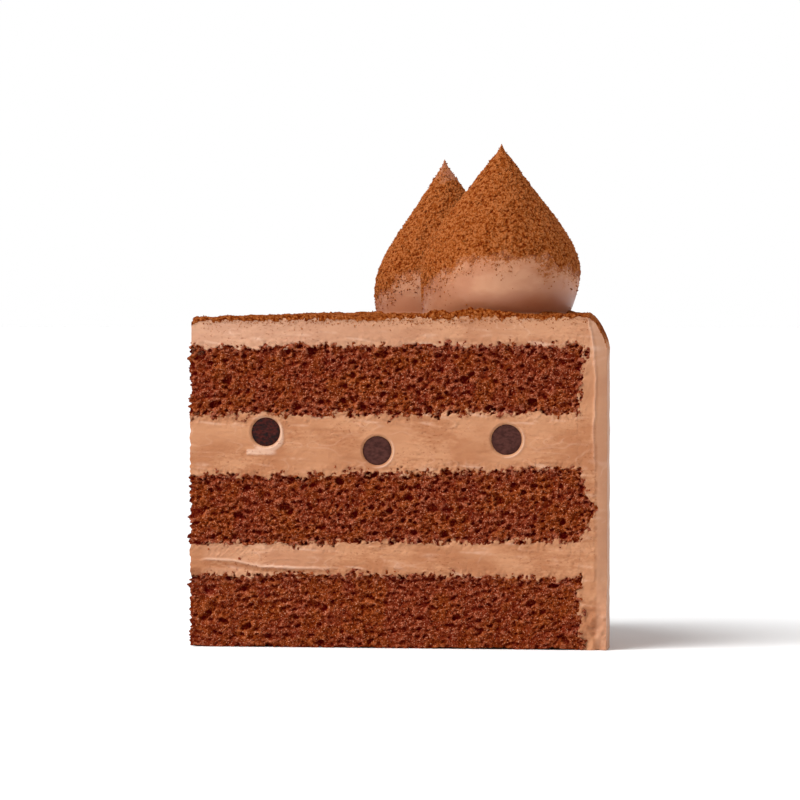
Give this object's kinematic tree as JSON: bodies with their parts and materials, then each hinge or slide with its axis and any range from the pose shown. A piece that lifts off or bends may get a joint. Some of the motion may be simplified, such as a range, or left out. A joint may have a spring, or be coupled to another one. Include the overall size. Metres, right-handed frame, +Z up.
{
  "type": "slice of chocolate layer cake",
  "caption": "Wedge of chocolate layer cake: dark sponge sheets, pale chocolate cream between and over them, piped dollops dusted with cocoa, chocolate balls in the filling.",
  "frame": {"origin": "centre of the slice's box at the face it stands on", "axes": "+Z up through the layers, the seen cut face stands along X and faces -Y, +X from the slice's point towards its coated rim"},
  "size_m": [0.0892, 0.078, 0.1059],
  "materials": {
    "chocolate_sponge": "open, crumbly dark red-brown sponge crumb",
    "chocolate_cream": "smooth pale chocolate cream with a soft sheen",
    "cocoa_dusted_cream": "chocolate cream under a matte layer of cocoa powder",
    "dark_chocolate": "dark chocolate, cut matte"
  },
  "bodies": {
    "root": {"sponge_bottom": "chocolate_sponge", "filling_lower": "chocolate_cream", "sponge_middle": "chocolate_sponge", "filling_upper": "chocolate_cream", "sponge_top": "chocolate_sponge", "cream_coat": "chocolate_cream", "dollop_front": "cocoa_dusted_cream", "dollop_back": "cocoa_dusted_cream", "chocolate_ball_1": "dark_chocolate", "chocolate_ball_2": "dark_chocolate", "chocolate_ball_3": "dark_chocolate", "chocolate_ball_4": "dark_chocolate", "chocolate_ball_5": "dark_chocolate", "chocolate_ball_6": "dark_chocolate"}
  },
  "joints": []
}
